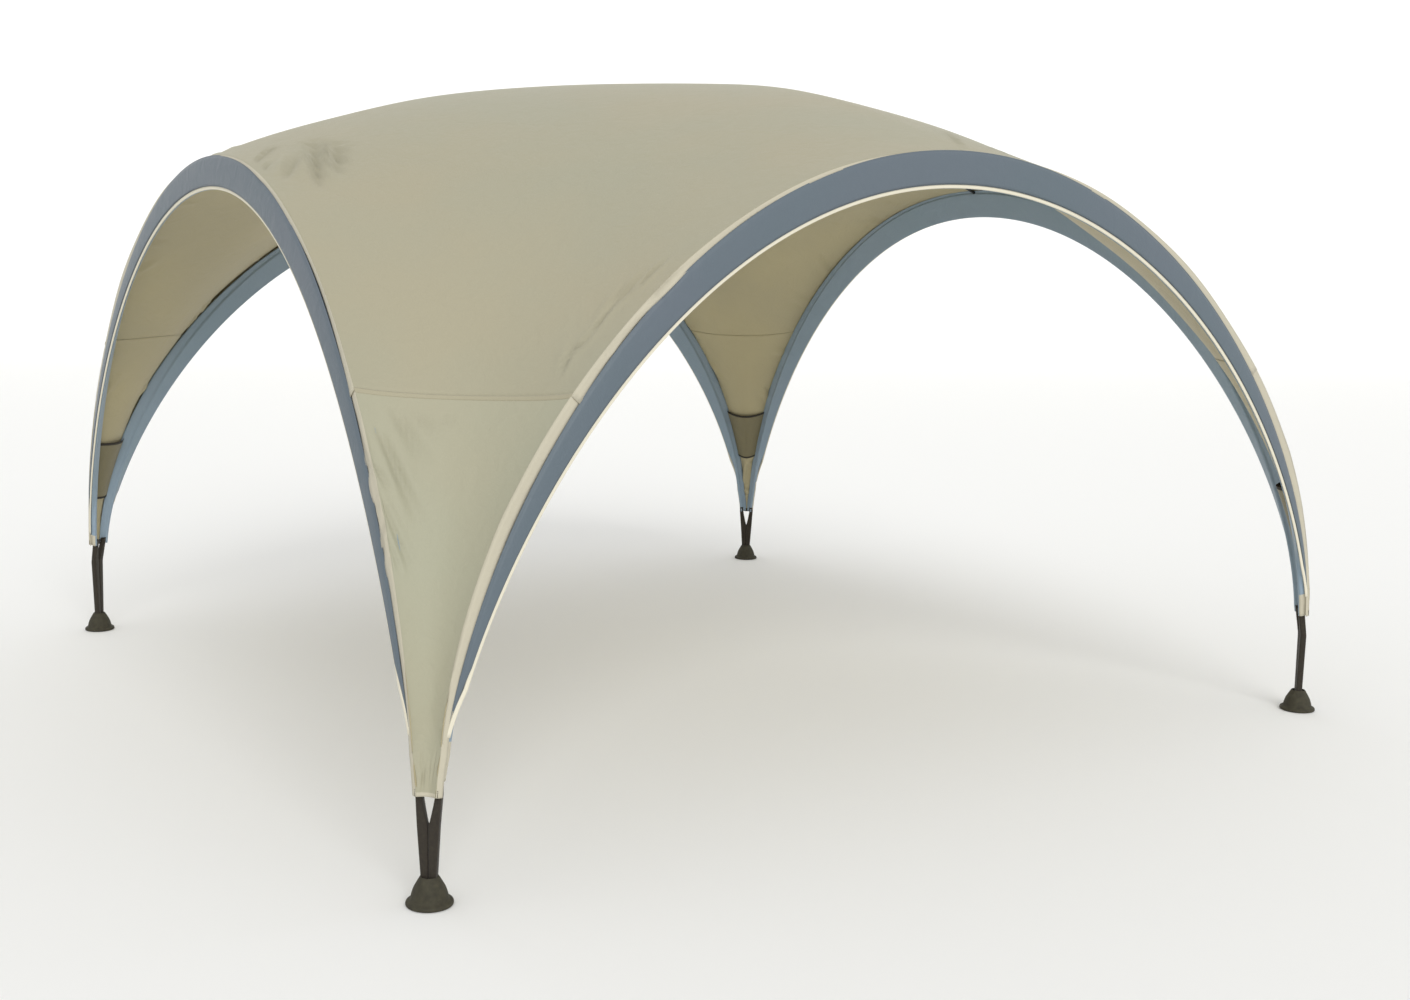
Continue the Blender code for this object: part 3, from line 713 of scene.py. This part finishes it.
def coated_polyester(name, hexes, crinkle=1.0, sheen=0.10, roughness=(0.52, 0.66)):
    """Plain woven polyester with a thin coating: a fine even weave, small crinkles from being
    packed, a soft shine, and slight shifts of tone.

    The real threads are about 0.3 mm apart. They are drawn 2.4 mm apart to show.
    """
    made, shader = new_material(name, IOR=1.5, Sheen_Weight=sheen, Specular_IOR_Level=0.32)
    place = add_node(made, "ShaderNodeTexCoord")
    shift = add_node(made, "ShaderNodeTexNoise", {"Vector": place.outputs["Object"], "Scale": 1.7,
                                                  "Detail": 3.0, "Roughness": 0.5})
    tone = add_node(made, "ShaderNodeValToRGB", {"Fac": shift.outputs["Fac"]})
    tone.color_ramp.elements[0].position, tone.color_ramp.elements[1].position = 0.36, 0.64
    tone.color_ramp.elements[0].color = linear(hexes[0])
    tone.color_ramp.elements[1].color = linear(hexes[1])
    warp, weft = (add_node(made, "ShaderNodeTexWave", {"Vector": place.outputs["UV"], "Scale": 131.0},
                           bands_direction=direction) for direction in "XY")
    weave = add_node(made, "ShaderNodeMath", {0: warp.outputs["Fac"], 1: weft.outputs["Fac"]},
                     operation="MULTIPLY")
    packed = add_node(made, "ShaderNodeTexNoise", {"Vector": place.outputs["Object"], "Scale": 13.0,
                                                   "Detail": 5.0, "Roughness": 0.55, "Distortion": 1.2})
    threads = add_node(made, "ShaderNodeBump", {"Height": weave.outputs["Value"], "Distance": 0.0004,
                                                "Strength": 0.35})
    crinkles = add_node(made, "ShaderNodeBump", {"Height": packed.outputs["Fac"], "Distance": 0.010 * crinkle,
                                                 "Strength": 0.35, "Normal": threads.outputs["Normal"]})
    shine = add_node(made, "ShaderNodeMapRange", {"Value": packed.outputs["Fac"], "To Min": roughness[0],
                                                  "To Max": roughness[1]})
    made.node_tree.links.new(tone.outputs["Color"], shader.inputs["Base Color"])
    made.node_tree.links.new(shine.outputs["Result"], shader.inputs["Roughness"])
    made.node_tree.links.new(crinkles.outputs["Normal"], shader.inputs["Normal"])
    return made


sand = coated_polyester("sand_polyester", (SAND_HEX, SAND_GREEN_HEX))
# Inner side: the coated side's more olive tone, lightened as painted light.
sand_coated_side_and_painted_light = coated_polyester("sand_polyester_coated_side_and_painted_light", (SAND_COATED_SIDE_PAINTED_LIGHT_HEX, SAND_COATED_SIDE_PAINTED_LIGHT_GREEN_HEX))
folded_sand = coated_polyester("sand_polyester_doubled", (FOLD_HEX, FOLD_HEX), crinkle=0.6)
cloths = [sand, sand_coated_side_and_painted_light, folded_sand, sand_coated_side_and_painted_light]


def cloth_area(piece):
    """Area of a piece's own mesh, before it is given a thickness."""
    areas = np.empty(len(piece.data.polygons))
    piece.data.polygons.foreach_get("area", areas)
    return float(areas.sum())


grids = []
for corner in CORNERS:
    grids.append(middle_grid(corner, ROOF_ROWS, ROOF_COLUMNS))
    tongue = leg_grid(corner, np.linspace(0, share_at(SEAM_HEIGHT), TONGUE_ROWS + 1), ROOF_COLUMNS)
    fading = np.exp(-np.linspace(FLARE_ROWS - 1, 0, FLARE_ROWS))[:, None, None]
    flare = fading * FOLD_FLARE * np.array([*CORNERS[corner], 0]) / math.sqrt(2)
    tongue[-FLARE_ROWS:, :FOLD_COLUMNS] += flare
    tongue[-FLARE_ROWS:, -FOLD_COLUMNS:] += flare
    grids.append((tongue, fold_numbers(tongue)))
roof = make_piece("roof_cloth", grids, cloths, HEART, CLOTH, lined=True)
roof_area = cloth_area(roof)
crease_cloth(roof)
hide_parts(*["roof_quarter_" + corner for corner in CORNERS])

# Below a cross seam each leg is a separate panel of the same cloth, tapering to a narrow hem
# that is gathered a little over the two sleeves. The seam is folded over and sewn twice.
PANEL_ROWS = 110
PANEL_COLUMNS = 44
SEAM_TUCK = 0.012
HEM_FOLD = 0.012
HEM_CLEAR = 0.0005
SEAM_STEP = 0.0014
SEAM_TAPE = 0.006
SEAM_COLUMNS = 60
TAPE_THICKNESS = 0.0006
TAPE_RISES = (0.0001, 0.0004, 0.0003, -0.0003, -0.0013)


def moved_in(grid, depth):
    """A grid moved in from the cloth's outside, along its normals, by a depth."""
    normal = np.cross(np.gradient(grid, axis=0), np.gradient(grid, axis=1))
    normal /= np.maximum(np.linalg.norm(normal, axis=-1, keepdims=True), 1e-12)
    facing = np.sign(np.sum(normal * (grid - np.array(HEART)), axis=-1, keepdims=True))
    return grid - depth * facing * normal


def sewn_tape(name, hexes, rows_apart):
    """A folded strip of the cloth with two rows of stitches: short threads in small dents.

    Real stitches are about 3 mm long. They are drawn 6 mm long to show.
    """
    made = coated_polyester(name, hexes, crinkle=0.4)
    shader = made.node_tree.nodes["Principled BSDF"]
    place = add_node(made, "ShaderNodeTexCoord").outputs["UV"]
    dashes = add_node(made, "ShaderNodeTexWave", {"Vector": place, "Scale": 52.0}, bands_direction="X")
    rows = add_node(made, "ShaderNodeTexWave", {"Vector": place, "Scale": 0.314 / rows_apart},
                    bands_direction="Y")
    thread = add_node(made, "ShaderNodeMath", {0: dashes.outputs["Fac"], 1: rows.outputs["Fac"]},
                      operation="MULTIPLY")
    crinkled = shader.inputs["Normal"].links[0].from_socket
    sewn = add_node(made, "ShaderNodeBump", {"Height": thread.outputs["Value"], "Distance": 0.0004,
                                             "Strength": 0.4, "Normal": crinkled})
    made.node_tree.links.new(sewn.outputs["Normal"], shader.inputs["Normal"])
    return made


seam_cloth = sewn_tape("sand_polyester_seam", (SAND_HEX, SAND_HEX), 0.007)
PANEL_HEXES = ("a8a48d", "a6a58f")
panel_sand = coated_polyester("sand_polyester_panel", PANEL_HEXES)
panel_cloths = [panel_sand, sand_coated_side_and_painted_light, folded_sand, sand_coated_side_and_painted_light]
for corner in CORNERS:
    shares = np.linspace(share_at(SEAM_HEIGHT + SEAM_TUCK), share_at(HEM[corner] + HEM_CLEAR), PANEL_ROWS + 1)
    grid = leg_grid(corner, shares, PANEL_COLUMNS)
    grid = moved_in(grid, SEAM_STEP)
    numbers = fold_numbers(grid)
    numbers[grid[:-1, :1, 2].ravel() < HEM[corner] + HEM_FOLD] = 2
    panel = make_piece("leg_cloth_" + corner, [(grid, numbers)], panel_cloths,
                       HEART, CLOTH, lined=True)
    panel_area = cloth_area(panel)
    crease_cloth(panel)
    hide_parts("leg_panel_" + corner)
    heights = np.linspace(SEAM_HEIGHT + SEAM_TAPE, SEAM_HEIGHT - SEAM_TAPE, len(TAPE_RISES))
    grid = leg_grid(corner, np.array([share_at(height) for height in heights]), SEAM_COLUMNS)
    grid = moved_in(grid, -np.array(TAPE_RISES)[:, None, None])[:, FOLD_COLUMNS:-FOLD_COLUMNS]
    tape = make_piece("seam_tape_" + corner, [grid], [seam_cloth], HEART, TAPE_THICKNESS)
    crease_cloth(tape)

# Inside each leg hangs a darker olive lining panel, bound with dark tape at its top and
# bottom and slack at its top edge. The hem below it is stiffened by a bar of webbing.
LINING_TOP = 0.83
LINING_BOTTOM = 0.59
LINING_DEPTH = 0.0066
LINING_SLACK = 0.012
LINING_SAG = 0.007
LINING_TAPE = 0.0065
LINING_ROWS = 48
LINING_COLUMNS = 44
LINING_HEXES = ("7b7459", "746e54")
HEM_BAR = 0.020
HEM_BAR_CLEAR = 0.001
HEM_BAR_ROWS = 7
HEM_DEPTH = 0.0046
HEM_THICKNESS = 0.0022

lining_cloth = coated_polyester("olive_polyester", LINING_HEXES, crinkle=1.4)
lining_tape = new_material("dark_binding", Base_Color=linear("2c2820"), Roughness=0.8)[0]
for corner in CORNERS:
    shares = np.linspace(share_at(LINING_TOP), share_at(LINING_BOTTOM), LINING_ROWS + 1)
    grid = moved_in(leg_grid(corner, shares, LINING_COLUMNS), LINING_DEPTH)
    grid = grid[:, FOLD_COLUMNS + 1:-FOLD_COLUMNS - 1]
    across = np.linspace(0, 1, grid.shape[1])[None, :, None]
    down = np.linspace(0, 1, LINING_ROWS + 1)[:, None, None]
    belly = 4 * across * (1 - across)
    inward = -np.array([*CORNERS[corner], 0.0]) / math.sqrt(2)
    grid = (grid + LINING_SLACK * belly * (1 - 0.5 * down) * inward
            - np.array([0, 0, LINING_SAG]) * belly * (1 - down))
    height = LINING_TOP - LINING_BOTTOM
    taped = np.abs(np.linspace(0, height, LINING_ROWS) - height / 2) > height / 2 - LINING_TAPE
    lining = make_piece("lining_" + corner, [(grid, np.repeat(taped[:, None] * 1, grid.shape[1] - 1, 1))],
                        [lining_cloth, lining_tape], HEART, CLOTH)
    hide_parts("leg_lining_" + corner)
    round(cloth_area(lining), 4)
    shares = np.linspace(share_at(HEM[corner] + HEM_BAR), share_at(HEM[corner] + HEM_BAR_CLEAR), HEM_BAR_ROWS)
    grid = moved_in(leg_grid(corner, shares, COARSE_COLUMNS), HEM_DEPTH)[:, FOLD_COLUMNS:-FOLD_COLUMNS]
    bar = make_piece("hem_webbing_" + corner, [grid], [webbing], HEART, HEM_THICKNESS)
    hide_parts("hem_bar_" + corner)
    round(cloth_area(bar), 6)

# The blue grey band is the tunnel that an arch pole runs in: polyester laid flat on the
# arch's face, turned under at its lower edge and brought back round the pole on the inside.
BAND_HEXES = ("616b74", "5f6b73")
# The tunnel's inner side is painted far lighter than its face: painted light, standing in for the light that
# falls on it inside the tent.
BAND_INSIDE_PAINTED_LIGHT_HEXES = ("8c9dac", "889ba9")
BAND_ROWS = 150
FACE_COLUMNS = 14
BACK_COLUMNS = 8
WRAP_COLUMNS = 9
WRAP_RADIUS = 0.0092
BAND_END = 0.445            # height where the piping runs out
WRAP_ENDS = {"near": 0.33, "right": 0.372, "far": 0.272, "left": 0.392}
HIDDEN = (0.43, 0.62)       # heights between which the tunnel draws back behind the cloth
HIDDEN_AWAY = (0.004, -0.004)       # the tunnel's two edges there, away from the pocket's line
HIDDEN_IN = (CLOTH_BEHIND + 0.002, 0.016)
LEAST_WIDTH = 0.004
EDGE_UP = 0.0025            # the tunnel starts this far past the band's upper edge,
SEAM_DEPTH = CLOTH_BEHIND - 0.0016          # sunk by this into the cloth's step,
SEAM_RUN = 0.004            # and has risen from it over about this
FACE_HOLLOW = 0.0022
EDGE_TURN = ((0.0008, 0.0022), (0.0012, 0.0085), (-0.0098, 0.0095), (-0.0118, 0.0108), (-0.0104, 0.0124))
WRAP_LEAVE = math.radians(38)
SEWN_IN = 0.036             # the tunnel's back meets the roof this far in,
SEWN_SHARES = (0.0, 0.1, 0.2, 0.3, 0.4, 0.5, 0.6, 0.7, 0.8, 0.9, 1.0)
# and this far from the band's upper edge, at those shares of the arch:
SEWN_AWAY = (0.0075, 0.0070, 0.0115, 0.0150, 0.0220, 0.0305, 0.0395, 0.0395, 0.0285, 0.0200, 0.0175)
SEWN_COLUMNS = 4
OUTSIDE_COLUMNS = FACE_COLUMNS + 3
SAND_COLUMNS = FACE_COLUMNS + len(EDGE_TURN) + BACK_COLUMNS + WRAP_COLUMNS // 2   # sand below the piping


def tunnel_profile(share):
    """Section of the tunnel, away and inward from the band's upper edge, a row for each share:
    up from the cloth, down the face, round the lower edge behind the piping, straight to the
    pole, round it by its radius, and out to the roof cloth's inner side."""
    width = np.maximum(band_width(share), LEAST_WIDTH)[:, None]
    lower, proud = -width * math.cos(BAND_LEAN), -width * math.sin(BAND_LEAN)
    face = np.linspace(0, 1, FACE_COLUMNS)[None] ** 1.3
    away = np.concatenate([EDGE_UP * np.ones_like(width), lower * face], axis=1)
    step = SEAM_DEPTH * np.exp(-(face * width / SEAM_RUN) ** 2)
    inward = proud * face + step - FACE_HOLLOW * np.sin(math.pi * face) * width / BAND_WIDTH
    inward = np.concatenate([SEAM_DEPTH * np.ones_like(width), inward], axis=1)
    turn_away, turn_in = (base + turn for base, turn in zip((lower, proud), np.array(EDGE_TURN).T[:, None]))
    away = np.concatenate([away, turn_away], axis=1)
    inward = np.concatenate([inward, turn_in], axis=1)
    shown = np.clip((opening_edge(share)[1][:, None] - HIDDEN[0]) / (HIDDEN[1] - HIDDEN[0]), 0, 1)
    away = away * shown + np.linspace(*HIDDEN_AWAY, away.shape[1]) * (1 - shown)
    inward = inward * shown + np.linspace(*HIDDEN_IN, inward.shape[1]) * (1 - shown)
    to_pole = np.stack([-POLE_SIDE - away[:, -1], POLE_BEHIND - inward[:, -1]])
    tangent = (np.arctan2(to_pole[1], to_pole[0]) + math.pi
               - np.arccos(np.clip(WRAP_RADIUS / np.hypot(*to_pole), 0, 1)))[:, None]
    angle = tangent + (WRAP_LEAVE - tangent) * np.linspace(0, 1, WRAP_COLUMNS)[None]
    wrap_away = -POLE_SIDE + WRAP_RADIUS * np.cos(angle)
    wrap_in = POLE_BEHIND + WRAP_RADIUS * np.sin(angle)
    back = np.linspace(0, 1, BACK_COLUMNS + 2)[None, 1:-1]
    back_away = away[:, -1:] + (wrap_away[:, :1] - away[:, -1:]) * back
    back_in = inward[:, -1:] + (wrap_in[:, :1] - inward[:, -1:]) * back
    sewn = np.linspace(0, 1, SEWN_COLUMNS + 1)[None, 1:]
    reach = np.interp(share, SEWN_SHARES, SEWN_AWAY)[:, None]
    last_away = wrap_away[:, -1:] + (reach - wrap_away[:, -1:]) * sewn
    last_in = wrap_in[:, -1:] + (SEWN_IN - wrap_in[:, -1:]) * sewn
    return (np.concatenate([away, back_away, wrap_away, last_away], axis=1),
            np.concatenate([inward, back_in, wrap_in, last_in], axis=1))


band_cloth = coated_polyester("blue_grey_polyester", BAND_HEXES, crinkle=0.9, sheen=0.04,
                              roughness=(0.36, 0.5))
# The inner side's lighter blue grey is painted light, not a colour of the cloth.
band_inside_painted_light = coated_polyester("blue_grey_polyester_inside_painted_light", BAND_INSIDE_PAINTED_LIGHT_HEXES, crinkle=0.9, sheen=0.04,
                               roughness=(0.34, 0.48))
PIPING_HEX = "e0dac6"
PIPING_RADII = (0.0030, 0.0062)
PIPING_DROP = 0.0052
PIPING_SET_IN = 0.0055
PIPING_SIDES = 12
PIPING_POWER = 0.7
PIPING_FADE = 0.12          # it draws in behind the folded edge over this height,
PIPING_HIDDEN_IN = 0.009    # to this far behind the face
piping_tape = coated_polyester("cream_tape", (PIPING_HEX, PIPING_HEX), crinkle=0.3)
for side in SIDES:
    halves, edges, heights = [], [], []
    for end in SIDE_ENDS[side]:
        shares = np.linspace(0, share_at(WRAP_ENDS[end]), BAND_ROWS)
        away, inward = tunnel_profile(shares)
        halves.append(on_arch(side, end, shares[:, None], away, inward))
        heights.append(opening_edge(shares)[1])
        shares = np.linspace(0, share_at(BAND_END), BAND_ROWS)
        width = band_width(shares)
        shown = np.clip((opening_edge(shares)[1] - BAND_END) / PIPING_FADE, 0, 1)
        away = (-width * math.cos(BAND_LEAN) - PIPING_DROP) * shown
        inward = (-width * math.sin(BAND_LEAN) + PIPING_SET_IN) * shown + PIPING_HIDDEN_IN * (1 - shown)
        edges.append(on_arch(side, end, shares, away, inward))
    grid = joined(halves)
    numbers = np.zeros((grid.shape[0] - 1, grid.shape[1] - 1), int)
    # Columns past the face take the inner material, lightened as painted light.
    numbers[:, OUTSIDE_COLUMNS:] = 1
    numbers[joined(heights)[1:] < BAND_END, :SAND_COLUMNS] = 2
    band = make_piece("band_cloth_" + side, [(grid, numbers)], [band_cloth, band_inside_painted_light, folded_sand],
                      None, CLOTH)
    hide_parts("arch_band_" + side)
    round(cloth_area(band), 4)
    piping = make_piece("piping_" + side,
                        [tube(joined(edges), arch_direction(side), PIPING_RADII, PIPING_SIDES, PIPING_POWER)],
                        [piping_tape])
    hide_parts("band_piping_" + side)
